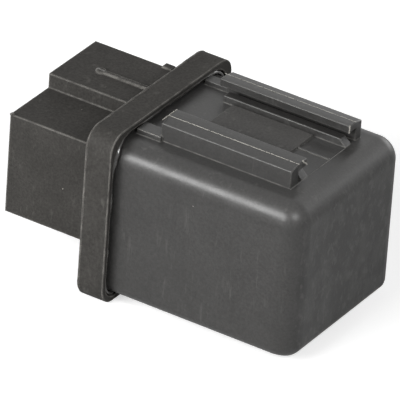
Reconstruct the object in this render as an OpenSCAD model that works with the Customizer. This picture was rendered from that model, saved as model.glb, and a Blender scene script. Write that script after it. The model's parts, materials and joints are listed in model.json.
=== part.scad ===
// Plug-in relay: a shrouded four-blade connector, a sealed cover with bracket rails,
// and a hinged-armature electromagnet inside.
// Lengths are in millimetres. X runs along the plug axis towards the closed end,
// Z towards the bracket rails. Inside the modules X is counted from the collar's
// cover-side face and Z from the underside of the cover.

/* [Cover] */
// Length of the cover from the collar face to its closed end
cover_l = 30; // [25:0.5:40]
// Width of the cover
cover_w = 28; // [23:0.5:36]
// Height of the cover without its rails
cover_h = 24.2; // [24:0.1:30]
// Thickness of the cover's walls
cover_wall = 1.2; // [0.9:0.1:1.5]
// Radius of the cover's upper edges and closed-end corners
cover_edge_r = 3.4; // [1.5:0.1:4]
// Radius of the cover's lower edges
cover_low_r = 1.6; // [0.6:0.1:2.5]
// Depth of the cover's rim inside the collar
rim_depth = 2.2; // [1.5:0.1:3]

/* [Bracket rails] */
// Start of the rails behind the collar face
rail_start = 3.8; // [2:0.1:6]
// Length of the rails
rail_l = 21.4; // [12:0.1:21.6]
// Height of the rails above the cover
rail_h = 3.2; // [2.8:0.1:5]
// Thickness of the lips that point inwards
lip_t = 1.2; // [0.8:0.1:1.5]
// Outer face of the near rail, from the middle
near_rail_out = 9; // [8:0.1:10]
// Thickness of the near rail's web
near_web_t = 2; // [1.2:0.1:2.2]
// Outer face of the far rail, from the middle
far_rail_out = 9.5; // [8:0.1:10]
// Thickness of the far rail's web
far_web_t = 1.4; // [1.2:0.1:2]
// Reach of each lip beyond its web
lip_reach = 2; // [1:0.1:2.5]
// Height of the two inner ribs
rib_h = 1.1; // [0.6:0.1:1.3]
// Width of the two inner ribs
rib_w = 1.5; // [0.8:0.1:1.7]
// Slot between each web and its inner rib
rib_slot = 1.1; // [0.8:0.1:1.5]
// Start of the inner ribs behind the collar face
rib_start = 4.9; // [3:0.1:7]
// Height of the raised pad between the ribs
pad_h = 0.35; // [0.2:0.05:0.8]
// Length of the raised pad
pad_l = 13.4; // [8:0.1:14]
// Start of the raised pad behind the collar face
pad_start = 6.6; // [5:0.1:8]

/* [Connector] */
// Thickness of the collar
collar_t = 4.2; // [3:0.1:6]
// Reach of the collar beyond the cover, all round
collar_out = 1.6; // [1.2:0.1:3]
// Gap between the cover and the collar's lip
groove_gap = 0.8; // [0.5:0.1:1]
// Corner radius of the collar
collar_corner_r = 2.8; // [1.5:0.1:4]
// Reach of the shroud's mouth from the collar's cover-side face
plug_reach = 20; // [17:0.5:28]
// Width of the shroud
shroud_w = 21.6; // [21:0.1:26]
// Underside of the shroud above the underside of the cover
shroud_low_z = 4.7; // [3.5:0.1:6]
// Height of the shroud's lower half
shroud_h = 15.9; // [15.6:0.1:17]
// Extra height of the shroud's keyed half
key_h = 2.3; // [1:0.1:2.8]
// Place of the key's step across the width
key_y = -1.2; // [-3:0.1:3]
// Thickness of the shroud's walls
shroud_wall = 1.3; // [1:0.1:1.5]
// Depth of the base plug inside the cover, from the collar face
plug_in = 1.5; // [1:0.1:2]
// Clearance of the base plug inside the cover
plug_gap = 0.1; // [0.05:0.05:0.2]

/* [Blades] */
// Width of each blade
blade_w = 6.3; // [5.2:0.1:7.6]
// Thickness of each blade
blade_t = 0.8; // [0.6:0.1:1]
// Distance of each blade's middle from the plug axis
blade_y = 4.7; // [4.3:0.1:5]
// Depth of the blade tips below the shroud's mouth
tip_recess = 5.2; // [3:0.1:8]
// Radius of the detent hole in each blade
detent_r = 0.8; // [0.5:0.05:1]
// Clearance of each blade in its slot
slot_gap = 0.05; // [0.02:0.01:0.1]

/* [Magnet] */
// Thickness of the yoke strip
yoke_t = 1.6; // [1.2:0.1:2]
// Width of the yoke strip
yoke_w = 14; // [12:0.5:15]
// Radius of the core
core_r = 3.4; // [2.6:0.1:3.8]
// Radius of the core's pole head
pole_r = 4.8; // [4:0.1:5.4]
// Thickness of the core's pole head
pole_t = 1.6; // [1:0.1:2]
// Thickness of the bobbin's tube and flanges
bobbin_t = 0.9; // [0.6:0.1:1.1]
// Clearance of the core in the bobbin
core_gap = 0.1; // [0.05:0.05:0.2]
// Room under the yoke for the return spring
spring_room = 3.2; // [2.8:0.1:4]
// Room above the bobbin for the contacts
head_room = 3.7; // [3.2:0.1:5]

/* [Armature] */
// Thickness of the armature
armature_t = 1.5; // [1:0.1:2]
// Width of the armature
armature_w = 13; // [10:0.5:14]
// Angle by which the armature stands open at rest
rest_angle = 3.2; // [2:0.1:4]
// Radius of the armature's pivot rib
pivot_r = 0.45; // [0.3:0.05:0.55]
// Running clearance round the pivot and at the shut stop
pivot_gap = 0.05; // [0.02:0.01:0.1]
// Thickness of the contact leaf
leaf_t = 0.3; // [0.15:0.05:0.4]
// Radius of the contact buttons
contact_r = 1.4; // [1:0.1:1.6]
// Room beyond the yoke for the armature and its stop
swing_room = 5.8; // [5.6:0.1:8]

/* [Hidden] */
$fn = 64;
big = 100;

// connector
cavity_w = shroud_w - 2 * shroud_wall;
cavity_low_z = shroud_low_z + shroud_wall;
cavity_h = shroud_h - 2 * shroud_wall;
tip_x = tip_recess - plug_reach;
detent_x = 4.3;
tip_taper = 2.2;
tip_corner = 1.1;
coil_blade_lift = 3;
contact_top_gap = 0.8;
coil_blade_z = cavity_low_z + coil_blade_lift;
contact_blade_z = cavity_low_z + cavity_h - contact_top_gap - blade_w / 2;
resin_depth = 0.8;
resin_margin = 0.7;
latch_l = 3.6;
latch_h = 8;
latch_out = 0.9;
key_rib_y = 3.8;
key_rib_l = 10.2;
key_rib_h = 0.35;
key_rib_w = 0.7;

// how far rails, ribs and feet run down into the cover's roof
root = 0.5;

// lengths inside the cover
inner_top_z = cover_h - cover_wall;
terminal_room = 1.7;
yoke_x = plug_in + terminal_room;
yoke_end_x = cover_l - cover_wall - swing_room;
bobbin_x = yoke_x + yoke_t;
bobbin_end_x = yoke_end_x - pole_t;

// heights inside the cover
yoke_z = cover_wall + spring_room;
coil_gap = 0.3;
bobbin_h = inner_top_z - yoke_z - yoke_t - coil_gap - head_room;
bobbin_w = yoke_w - 0.4;
coil_z = yoke_z + yoke_t + coil_gap + bobbin_h / 2;
tube_r = core_r + core_gap + bobbin_t;
winding_r = bobbin_h / 2 - 0.4;
tape_t = 0.15;
tail_r = core_r - 0.8;

// side strips and their end tabs
strip_t = 0.8;
strip_gap = 1;
strip_in = max(yoke_w / 2, winding_r + tape_t) + strip_gap;
strip_out = strip_in + strip_t;
strip_h = 4.8;
tab_low_z = coil_z + pole_r + 0.4;
strip_low_z = tab_low_z - strip_h;
tab_top_z = inner_top_z - 0.6;
tab_half_w = 2;
contact_z = tab_top_z - 1.6;
load_tab_x = yoke_end_x - 1;
shank_r = 0.7;
rivet_r = 0.6;
fixed_front_x = load_tab_x + strip_t + 0.65;
button_t = 0.3;
button_r = 1.05;
stop_seat = 2.5;

// armature, drawn shut and then opened about its pivot
pivot_x = yoke_end_x + pivot_gap;
pivot_z = yoke_z + yoke_t / 2;
leaf_x = pivot_x + armature_t;
leaf_low_z = coil_z - 5.6;
armature_top_z = coil_z + 5.6;
spring_z = cover_wall + spring_room / 2 + 0.2;
tail_low_z = spring_z - 0.8;
tail_w = 4;
hook_hole_r = 0.35;
rivet_z = [coil_z - 3.3, coil_z + 2.7];
stop_face_x = pivot_x + (armature_t + leaf_t + button_t) * cos(rest_angle)
    + (contact_z + contact_r - pivot_z) * sin(rest_angle) + pivot_gap;
stop_tab_x = stop_face_x + 0.45;

// coil tabs, resistor and wires
tab_in = yoke_w / 2 + 0.4;
tab_out = strip_out + 1.4;
tab_l = 7.5;
tab_end_x = plug_in + tab_l;
resistor_x = tab_end_x - 0.9;
resistor_r = 1.15;
resistor_l = 6.4;
resistor_z = coil_z + bobbin_h / 2 + 0.2 + resistor_r;
lead_r = 0.3;
lead_y = tab_out - 0.4;
wire_r = 0.12;
frame_rivet_y = 0.95 - yoke_w / 2;
frame_head_r = 0.9;
frame_head_t = 0.3;
frame_rivet_dz = 1.6;
lug_x = yoke_x + 4.6;
lug_t = 0.8;

// spring coil
spring_r = 0.95;
spring_wire_r = 0.17;
spring_turns = 10;
spring_start_x = lug_x + lug_t + 1.2;
spring_end_x = yoke_end_x - 1.6;
braid_r = 0.5;

// The part's own frame: middle of its length, middle of its width, lowest point.
module placed() {
    translate([(plug_reach - cover_l) / 2, 0, collar_out]) children();
}

// A box given by its two opposite corners.
module block(low, high) {
    translate(low) cube(high - low);
}

// Drawn in the Y-Z plane and pulled along X from x0 to x1.
module along_x(x0, x1) {
    translate([x0, 0, 0]) rotate([90, 0, 90]) linear_extrude(x1 - x0) children();
}

// A rectangle with its own radius at the low and at the high corners.
module round_box_2d(low, high, low_r, high_r) {
    union() {
        translate([low.x, low.y + low_r])
            square([high.x - low.x, high.y - low.y - low_r - high_r]);
        translate([low.x + low_r, low.y])
            square([high.x - low.x - 2 * low_r, low_r]);
        translate([low.x + high_r, high.y - high_r])
            square([high.x - low.x - 2 * high_r, high_r]);
        for (x = [low.x + low_r, high.x - low_r])
            translate([x, low.y + low_r]) circle(low_r);
        for (x = [low.x + high_r, high.x - high_r])
            translate([x, high.y - high_r]) circle(high_r);
    }
}

// The cover's outline grown by a distance, in the Y-Z plane.
module cover_outline(grow) {
    round_box_2d([-cover_w / 2 - grow, -grow], [cover_w / 2 + grow, cover_h + grow],
        max(cover_low_r + grow, 0.3), max(cover_edge_r + grow, 0.3));
}

function unit(v) = v / norm(v);
function tangents(p) = [
    for (i = [0 : len(p) - 1]) unit(p[min(i + 1, len(p) - 1)] - p[max(i - 1, 0)])
];
function carried(t, n, i = 0, made = []) =
    i == len(t) ? made
    : let (next = unit(n - (n * t[i]) * t[i])) carried(t, next, i + 1, concat(made, [next]));

// A round wire along a list of points.
module wire(points, radius, sides = 8, normal = [0, 0.3, 1]) {
    t = tangents(points);
    n = carried(t, normal);
    last = len(points) - 1;
    rings = [
        for (i = [0 : last]) for (j = [0 : sides - 1])
            points[i] + radius * (cos(360 * j / sides) * n[i]
                + sin(360 * j / sides) * cross(t[i], n[i]))
    ];
    skin = [
        for (i = [0 : last - 1]) for (j = [0 : sides - 1])
            [i * sides + j, (i + 1) * sides + j,
             (i + 1) * sides + (j + 1) % sides, i * sides + (j + 1) % sides]
    ];
    start_cap = [for (j = [0 : sides - 1]) j];
    end_cap = [for (j = [sides - 1 : -1 : 0]) last * sides + j];
    polyhedron(points = rings, faces = concat(skin, [start_cap, end_cap]));
}

// ---------------------------------------------------------------- connector

// The stepped outline of the shroud, drawn in by a distance.
module shroud_outline(inset) {
    half = shroud_w / 2 - inset;
    low = shroud_low_z + inset;
    union() {
        translate([-half, low]) square([2 * half, shroud_h - 2 * inset]);
        translate([key_y + inset, low])
            square([half - key_y - inset, shroud_h + key_h - 2 * inset]);
    }
}

// Room for an upright blade of the contact circuit through the base.
module upright_slot(y) {
    block([-big, y - blade_t / 2 - slot_gap, contact_blade_z - blade_w / 2 - slot_gap],
          [big, y + blade_t / 2 + slot_gap, contact_blade_z + blade_w / 2 + slot_gap]);
}

// Room for a flat blade of the coil circuit through the base.
module flat_slot(y) {
    block([-big, y - blade_w / 2 - slot_gap, coil_blade_z - blade_t / 2 - slot_gap],
          [big, y + blade_w / 2 + slot_gap, coil_blade_z + blade_t / 2 + slot_gap]);
}

module resin_block() {
    block([-collar_t, -cavity_w / 2 + resin_margin, cavity_low_z + resin_margin],
          [resin_depth - collar_t, cavity_w / 2 - resin_margin,
           cavity_low_z + cavity_h - resin_margin / 2]);
}

// Locking ramp on the far side of the shroud, beside the collar.
module latch_ramp() {
    side = shroud_w / 2;
    top = shroud_low_z + shroud_h + key_h - 0.4;
    translate([0, 0, top - latch_h]) linear_extrude(latch_h)
        polygon([[-collar_t - latch_l - 1.2, side - 0.2], [-collar_t - 1.2, side - 0.2],
                 [-collar_t - 1.2, side + latch_out], [-collar_t - 2.2, side + latch_out]]);
}

// Thin rib along the keyed top, with a round wider end.
module key_rib() {
    top = shroud_low_z + shroud_h + key_h;
    block([-collar_t - key_rib_l, key_rib_y - key_rib_w / 2, top - 0.2],
          [-collar_t + 0.2, key_rib_y + key_rib_w / 2, top + key_rib_h]);
    translate([-collar_t - key_rib_l, key_rib_y, top - 0.2])
        cylinder(h = key_rib_h + 0.2, r = key_rib_w);
}

module connector_base() {
    color([0.30, 0.29, 0.27]) difference() {
        union() {
            along_x(-collar_t, 0)
                round_box_2d([-cover_w / 2 - collar_out, -collar_out],
                    [cover_w / 2 + collar_out, cover_h + collar_out],
                    collar_corner_r, collar_corner_r);
            along_x(-plug_reach, -collar_t + 0.5) shroud_outline(0);
            latch_ramp();
            key_rib();
        }
        along_x(-rim_depth, big) cover_outline(groove_gap);
        along_x(-big, -collar_t) shroud_outline(shroud_wall);
        resin_block();
        for (side = [-1, 1]) {
            upright_slot(side * blade_y);
            flat_slot(side * blade_y);
        }
    }
    color([0.30, 0.29, 0.27]) difference() {
        union() {
            along_x(-rim_depth - 0.01, plug_in) cover_outline(-cover_wall - plug_gap);
            for (side = [-1, 1])
                translate([plug_in - 0.5, side * (yoke_w / 2 - 1.6), yoke_z + 1.6])
                    rotate([0, 90, 0]) cylinder(h = yoke_x - plug_in + 0.5, r = 1.1);
        }
        for (side = [-1, 1]) {
            upright_slot(side * blade_y);
            flat_slot(side * blade_y);
        }
        block([plug_in - stop_seat - slot_gap, -strip_out - slot_gap, strip_low_z - slot_gap],
              [big, -strip_in + slot_gap, tab_low_z + slot_gap]);
    }
}

module terminal_resin() {
    color([0.12, 0.11, 0.10]) difference() {
        resin_block();
        for (side = [-1, 1]) {
            block([-big, side * blade_y - blade_t / 2, contact_blade_z - blade_w / 2],
                  [big, side * blade_y + blade_t / 2, contact_blade_z + blade_w / 2]);
            block([-big, side * blade_y - blade_w / 2, coil_blade_z - blade_t / 2],
                  [big, side * blade_y + blade_w / 2, coil_blade_z + blade_t / 2]);
        }
    }
}

module seal_bead() {
    color([0.16, 0.15, 0.14]) difference() {
        along_x(-rim_depth, -rim_depth / 2) cover_outline(groove_gap);
        along_x(-big, big) cover_outline(0);
    }
}

// -------------------------------------------------------------------- cover

// One bracket rail, with its lip pointing towards +Y.
module rail(web_t) {
    chamfer = 0.4;
    along_x(rail_start, rail_start + rail_l)
        polygon([[0, -root], [0, rail_h - chamfer], [chamfer, rail_h],
                 [web_t + lip_reach, rail_h], [web_t + lip_reach, rail_h - lip_t],
                 [web_t, rail_h - lip_t], [web_t, -root]]);
}

// A low rib beside a rail, bevelled at its closed-end end.
module guide_rib(low_y) {
    end_x = rail_start + rail_l;
    translate([0, low_y + rib_w, cover_h]) rotate([90, 0, 0]) linear_extrude(rib_w)
        polygon([[rib_start, -root], [rib_start, rib_h], [end_x - rib_h, rib_h],
                 [end_x, 0], [end_x, -root]]);
}

module bracket_seat() {
    near_rib_y = -near_rail_out + near_web_t + rib_slot;
    far_rib_y = far_rail_out - far_web_t - rib_slot - rib_w;
    pad_end = pad_start + pad_l;
    foot_h = 0.8;
    foot_gap = 0.1;
    translate([0, -near_rail_out, cover_h]) rail(near_web_t);
    translate([0, far_rail_out, cover_h]) mirror([0, 1, 0]) rail(far_web_t);
    guide_rib(near_rib_y);
    guide_rib(far_rib_y);
    block([pad_start, near_rib_y + rib_w + 0.3, cover_h - root],
          [pad_end, far_rib_y - 0.2, cover_h + pad_h]);
    block([pad_end - 0.5, 1.1, cover_h - root], [rail_start + rail_l - 0.1, 1.6, cover_h + 0.2]);
    block([foot_gap, -near_rail_out - 0.5, cover_h - root],
          [rail_start + 0.3, -near_rail_out + near_web_t, cover_h + foot_h]);
    block([foot_gap, far_rail_out - far_web_t, cover_h - root],
          [rail_start + 0.3, far_rail_out + 0.4, cover_h + foot_h]);
}

// One half of a view of the closed end, with the place of its end and its corner radius.
module half_end_2d(across, end_x, r) {
    translate([-big, -0.01]) square([big + end_x - r, across / 2 + 0.01]);
    translate([-big, -0.01]) square([big + end_x, across / 2 - r + 0.01]);
    translate([end_x - r, across / 2 - r]) circle(r);
}

// A view of the closed end about its mid line, with its own radius at each corner.
module round_end_2d(across, end_x, low_r, high_r) {
    half_end_2d(across, end_x, high_r);
    mirror([0, 1, 0]) half_end_2d(across, end_x, low_r);
}

// The cover's form from a start along X, drawn in by a distance on every side.
module cover_form(start_x, inset) {
    end_x = cover_l - inset;
    high_r = cover_edge_r - inset;
    low_r = max(cover_low_r - inset, 0.3);
    intersection() {
        along_x(start_x, end_x) cover_outline(-inset);
        translate([0, 0, -1]) linear_extrude(cover_h + 2)
            round_end_2d(cover_w - 2 * inset, end_x, high_r, high_r);
        translate([0, cover_w / 2 + 1, cover_h / 2]) rotate([90, 0, 0])
            linear_extrude(cover_w + 2)
                round_end_2d(cover_h - 2 * inset, end_x, low_r, high_r);
    }
}

module cover() {
    color([0.31, 0.31, 0.30]) difference() {
        union() {
            cover_form(-rim_depth, 0);
            bracket_seat();
        }
        cover_form(-big, cover_wall);
    }
}

// ---------------------------------------------------------------- terminals

// A blade with a tapered tip, lying flat, pointing towards -X, up to root_x.
module blade(root_x) {
    difference() {
        intersection() {
            linear_extrude(blade_t, center = true)
                polygon([[root_x, -blade_w / 2], [tip_x + tip_taper, -blade_w / 2],
                         [tip_x, -blade_w / 2 + tip_corner], [tip_x, blade_w / 2 - tip_corner],
                         [tip_x + tip_taper, blade_w / 2], [root_x, blade_w / 2]]);
            rotate([90, 0, 0]) linear_extrude(blade_w + 1, center = true)
                polygon([[root_x, -blade_t / 2], [tip_x + 1, -blade_t / 2],
                         [tip_x, -blade_t / 6], [tip_x, blade_t / 6],
                         [tip_x + 1, blade_t / 2], [root_x, blade_t / 2]]);
        }
        translate([tip_x + detent_x, 0, 0]) cylinder(h = 2 * blade_t, r = detent_r, center = true);
    }
}

// Flat coil blade with a side tab inside the cover, on the +Y side.
module coil_terminal() {
    color([0.72, 0.70, 0.64]) union() {
        translate([0, blade_y, coil_blade_z]) blade(plug_in + 0.6);
        translate([0, 0, coil_blade_z - blade_t / 2]) linear_extrude(blade_t)
            polygon([[0, blade_y], [0, blade_y + blade_w / 2 - 0.4],
                     [plug_in, blade_y + blade_w / 2 - 0.4], [plug_in, tab_out],
                     [tab_end_x, tab_out], [tab_end_x, tab_in],
                     [plug_in + 0.6, tab_in], [plug_in + 0.6, blade_y]]);
    }
}

module coil_terminal_a() {
    coil_terminal();
}

module coil_terminal_b() {
    mirror([0, 1, 0]) coil_terminal();
}

module upright_blade(y, root_x) {
    translate([0, y, contact_blade_z]) rotate([90, 0, 0]) blade(root_x);
}

module frame_rivet_holes(radius, x0, x1) {
    for (dz = [-frame_rivet_dz, frame_rivet_dz])
        translate([x0, frame_rivet_y, contact_blade_z + dz])
            rotate([0, 90, 0]) cylinder(h = x1 - x0, r = radius);
}

// The switched circuit's common blade, riveted to the yoke.
module common_terminal() {
    color([0.74, 0.58, 0.38]) difference() {
        union() {
            upright_blade(-blade_y, yoke_x);
            block([yoke_x - strip_t, -yoke_w / 2, contact_blade_z - blade_w / 2],
                  [yoke_x, -blade_y, contact_blade_z + blade_w / 2]);
        }
        frame_rivet_holes(rivet_r, 0, big);
    }
}

module frame_rivets() {
    color([0.66, 0.64, 0.60]) {
        frame_rivet_holes(rivet_r, yoke_x - strip_t, yoke_x + yoke_t);
        frame_rivet_holes(frame_head_r, yoke_x - strip_t - frame_head_t, yoke_x - strip_t);
    }
}

// The load blade, bent round the coil to a tab above the pole.
module load_terminal() {
    jog_x = plug_in + 0.5;
    color([0.74, 0.58, 0.38]) difference() {
        union() {
            upright_blade(blade_y, jog_x + strip_t);
            block([jog_x, blade_y - blade_t / 2, strip_low_z],
                  [jog_x + strip_t, strip_out, tab_low_z]);
            block([jog_x, strip_in, strip_low_z],
                  [load_tab_x + strip_t, strip_out, tab_low_z]);
            block([load_tab_x, strip_in, strip_low_z],
                  [load_tab_x + strip_t, strip_out, tab_top_z]);
            block([load_tab_x, -tab_half_w, tab_low_z],
                  [load_tab_x + strip_t, strip_out, tab_top_z]);
        }
        translate([load_tab_x - 1, 0, contact_z])
            rotate([0, 90, 0]) cylinder(h = 3, r = shank_r);
    }
}

module fixed_contact() {
    color([0.83, 0.83, 0.80]) translate([load_tab_x, 0, contact_z]) rotate([0, 90, 0]) union() {
        cylinder(h = fixed_front_x - load_tab_x, r = shank_r);
        translate([0, 0, strip_t]) cylinder(h = fixed_front_x - load_tab_x - strip_t, r = contact_r);
        translate([0, 0, -button_t]) cylinder(h = button_t, r = button_r);
    }
}

// A strip seated in the base that carries the armature's open stop.
module stop_strip() {
    color([0.74, 0.58, 0.38]) difference() {
        union() {
            block([plug_in - stop_seat, -strip_out, strip_low_z],
                  [stop_tab_x + strip_t, -strip_in, tab_low_z]);
            block([stop_tab_x, -strip_out, strip_low_z],
                  [stop_tab_x + strip_t, -strip_in, tab_top_z]);
            block([stop_tab_x, -strip_out, tab_low_z],
                  [stop_tab_x + strip_t, tab_half_w, tab_top_z]);
        }
        translate([stop_tab_x - 1, 0, contact_z]) rotate([0, 90, 0]) cylinder(h = 3, r = shank_r);
    }
}

module stop_button() {
    color([0.83, 0.83, 0.80]) translate([stop_face_x, 0, contact_z]) rotate([0, 90, 0]) union() {
        cylinder(h = stop_tab_x - stop_face_x, r = contact_r);
        cylinder(h = stop_tab_x - stop_face_x + strip_t, r = shank_r);
    }
}

// ------------------------------------------------------------------- magnet

// L-shaped magnet frame with a lug for the return spring.
module yoke() {
    color([0.62, 0.60, 0.55]) difference() {
        union() {
            block([yoke_x, -yoke_w / 2, yoke_z], [bobbin_x, yoke_w / 2, coil_z + bobbin_h / 2 - 0.7]);
            block([yoke_x, -yoke_w / 2, yoke_z], [yoke_end_x, yoke_w / 2, yoke_z + yoke_t]);
            block([lug_x, -1.5, spring_z - 0.9], [lug_x + lug_t, 1.5, yoke_z + 0.5]);
        }
        translate([0, 0, coil_z]) rotate([0, 90, 0]) cylinder(h = bobbin_x + 1, r = tail_r);
        translate([lug_x - 1, 0, spring_z]) rotate([0, 90, 0]) cylinder(h = 3, r = hook_hole_r);
        translate([pivot_x, 0, pivot_z]) rotate([90, 0, 0])
            cylinder(h = yoke_w + 1, r = pivot_r + pivot_gap, center = true);
        frame_rivet_holes(rivet_r, yoke_x - 1, bobbin_x + 1);
    }
}

module core() {
    color([0.66, 0.65, 0.62]) translate([yoke_x, 0, coil_z]) rotate([0, 90, 0]) union() {
        cylinder(h = yoke_t, r = tail_r);
        translate([0, 0, yoke_t]) cylinder(h = yoke_end_x - bobbin_x, r = core_r);
        translate([0, 0, yoke_end_x - yoke_x - pole_t]) cylinder(h = pole_t, r = pole_r);
    }
}

module bobbin_flange(x) {
    along_x(x, x + bobbin_t)
        translate([0, coil_z]) round_box_2d([-bobbin_w / 2, -bobbin_h / 2],
            [bobbin_w / 2, bobbin_h / 2], 1.5, 1.5);
}

module bobbin() {
    color([0.85, 0.80, 0.68]) difference() {
        union() {
            bobbin_flange(bobbin_x);
            bobbin_flange(bobbin_end_x - bobbin_t);
            translate([bobbin_x, 0, coil_z]) rotate([0, 90, 0])
                cylinder(h = bobbin_end_x - bobbin_x, r = tube_r);
        }
        translate([0, 0, coil_z]) rotate([0, 90, 0]) cylinder(h = big, r = core_r + core_gap);
    }
}

// A sleeve round the coil axis between the bobbin's flanges.
module sleeve(inner_r, outer_r) {
    translate([bobbin_x + bobbin_t, 0, coil_z]) rotate([0, 90, 0]) difference() {
        cylinder(h = bobbin_end_x - bobbin_x - 2 * bobbin_t, r = outer_r);
        translate([0, 0, -1]) cylinder(h = big, r = inner_r);
    }
}

module coil_winding() {
    color([0.72, 0.36, 0.16]) sleeve(tube_r, winding_r);
}

module winding_tape() {
    color([0.80, 0.66, 0.30]) sleeve(winding_r, winding_r + tape_t);
}

module coil_leads() {
    reach = winding_r + tape_t + wire_r;
    angle = 28;
    tab_top = coil_blade_z + blade_t / 2 + wire_r;
    color([0.72, 0.36, 0.16]) for (side = [-1, 1])
        wire([[tab_end_x - 0.6, side * (tab_in + 0.9), tab_top],
              [tab_end_x - 1.4, side * (tab_in + 0.5), tab_top],
              [tab_end_x - 1.9, side * (tab_in - 0.2), tab_top + 0.2],
              [tab_end_x - 2.1, side * reach * cos(angle), coil_z - reach * sin(angle)]],
             wire_r, 8, [0.2, 0.1, 1]);
}

// Fibre sheet that keeps the load blade off the yoke.
module insulating_sheet() {
    color([0.55, 0.36, 0.24])
        block([yoke_x - 0.2, tail_r + 0.2, strip_low_z - 1],
              [yoke_x, yoke_w / 2, coil_z + bobbin_h / 2 - 0.7]);
}

module suppression_resistor() {
    color([0.30, 0.50, 0.62]) translate([resistor_x, 0, resistor_z]) rotate([90, 0, 0]) union() {
        cylinder(h = resistor_l - 2.4, r = resistor_r * 0.88, center = true);
        for (side = [-1, 1])
            translate([0, 0, side * (resistor_l / 2 - 0.7)])
                cylinder(h = 1.4, r = resistor_r, center = true);
    }
}

module resistor_leads() {
    foot_z = coil_blade_z + blade_t / 2;
    color([0.75, 0.75, 0.73]) for (side = [-1, 1])
        wire([[resistor_x, side * resistor_l / 2, resistor_z],
              [resistor_x, side * (lead_y - 0.7), resistor_z],
              [resistor_x, side * (lead_y - 0.2), resistor_z - 0.2],
              [resistor_x, side * lead_y, resistor_z - 0.7],
              [resistor_x, side * lead_y, foot_z]],
             lead_r, 8, [1, 0, 0]);
}

// ----------------------------------------------------------------- armature

// Opens what is drawn shut to its rest place.
module at_rest() {
    translate([pivot_x, 0, pivot_z]) rotate([0, rest_angle, 0])
        translate([-pivot_x, 0, -pivot_z]) children();
}

module rivet_holes(radius, x0, x1) {
    for (z = rivet_z)
        translate([x0, 0, z]) rotate([0, 90, 0]) cylinder(h = x1 - x0, r = radius);
}

module armature() {
    color([0.64, 0.62, 0.58]) at_rest() difference() {
        union() {
            block([pivot_x, -armature_w / 2, yoke_z], [leaf_x, armature_w / 2, armature_top_z]);
            block([pivot_x, -tail_w / 2, tail_low_z], [leaf_x, tail_w / 2, yoke_z + 1]);
            translate([pivot_x, 0, pivot_z]) rotate([90, 0, 0])
                cylinder(h = armature_w, r = pivot_r, center = true);
        }
        rivet_holes(rivet_r, pivot_x - 1, leaf_x + 1);
        translate([pivot_x - 1, 0, spring_z]) rotate([0, 90, 0])
            cylinder(h = armature_t + 2, r = hook_hole_r);
    }
}

module contact_leaf() {
    color([0.80, 0.62, 0.36]) at_rest() difference() {
        along_x(leaf_x, leaf_x + leaf_t)
            polygon([[-3, leaf_low_z], [3, leaf_low_z], [3, armature_top_z - 1],
                     [tab_half_w, armature_top_z + 0.5], [tab_half_w, tab_top_z - 0.1],
                     [-tab_half_w, tab_top_z - 0.1], [-tab_half_w, armature_top_z + 0.5],
                     [-3, armature_top_z - 1]]);
        rivet_holes(rivet_r, leaf_x - 1, leaf_x + 1);
        translate([leaf_x - 1, 0, contact_z]) rotate([0, 90, 0]) cylinder(h = 3, r = shank_r);
    }
}

module leaf_rivets() {
    color([0.66, 0.64, 0.60]) at_rest() {
        rivet_holes(rivet_r, pivot_x, leaf_x + leaf_t);
        rivet_holes(1.1, leaf_x + leaf_t, leaf_x + leaf_t + 0.4);
    }
}

module moving_contact() {
    front_x = fixed_front_x + pivot_gap;
    color([0.83, 0.83, 0.80]) at_rest() translate([front_x, 0, contact_z]) rotate([0, 90, 0])
        union() {
            cylinder(h = leaf_x - front_x, r = contact_r);
            cylinder(h = leaf_x - front_x + leaf_t, r = shank_r);
            translate([0, 0, leaf_x - front_x + leaf_t]) cylinder(h = button_t, r = button_r);
        }
}

// Tension coil from the yoke's lug to the armature's tail.
module return_spring() {
    steps = 10;
    count = spring_turns * steps;
    coil = [
        for (i = [0 : count])
            [spring_start_x + (spring_end_x - spring_start_x) * i / count,
             spring_r * sin(360 * i / steps),
             spring_z + spring_r * cos(360 * i / steps)]
    ];
    hook_x = leaf_x + 0.45;
    color([0.70, 0.70, 0.68])
        wire(concat([[lug_x - 0.5, 0, spring_z + 0.8], [lug_x - 0.5, 0, spring_z + 0.15],
                     [lug_x - 0.3, 0, spring_z], [lug_x + lug_t + 0.3, 0, spring_z],
                     [lug_x + lug_t + 0.8, -0.2, spring_z + 0.5]],
                    coil,
                    [[spring_end_x + 0.5, 0.2, spring_z + 0.5], [spring_end_x + 1, 0, spring_z],
                     [hook_x - 0.2, 0, spring_z], [hook_x, 0, spring_z + 0.15],
                     [hook_x, 0, spring_z + 0.8]]),
             spring_wire_r, 8, [1, 0.3, 0]);
}

// Flexible lead from the contact leaf round the armature's edge to the yoke.
module copper_braid() {
    rest_x = pivot_x + (armature_t + leaf_t) / cos(rest_angle);
    skin_x = rest_x + (rivet_z[0] - pivot_z) * tan(rest_angle) + braid_r + 0.05;
    side_y = -yoke_w / 2 - braid_r - 0.05;
    color([0.78, 0.42, 0.22])
        wire([[skin_x, -2, rivet_z[0]], [skin_x, -3.6, rivet_z[0]],
              [skin_x - 0.1, -5.6, rivet_z[0] - 0.4], [skin_x - 0.4, -7, rivet_z[0] - 1],
              [skin_x - 1.6, side_y - 0.5, rivet_z[0] - 2], [skin_x - 3, side_y - 0.5, rivet_z[0] - 3],
              [yoke_end_x - 3, side_y - 0.2, pivot_z + 0.3], [yoke_end_x - 4.4, side_y, pivot_z],
              [yoke_end_x - 7, side_y, pivot_z]],
             braid_r, 10);
}

placed() connector_base();
placed() cover();
placed() seal_bead();
placed() terminal_resin();
placed() coil_terminal_a();
placed() coil_terminal_b();
placed() common_terminal();
placed() load_terminal();
placed() stop_strip();
placed() stop_button();
placed() fixed_contact();
placed() yoke();
placed() core();
placed() bobbin();
placed() coil_winding();
placed() winding_tape();
placed() coil_leads();
placed() insulating_sheet();
placed() frame_rivets();
placed() suppression_resistor();
placed() resistor_leads();
placed() armature();
placed() contact_leaf();
placed() leaf_rivets();
placed() moving_contact();
placed() return_spring();
placed() copper_braid();
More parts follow.
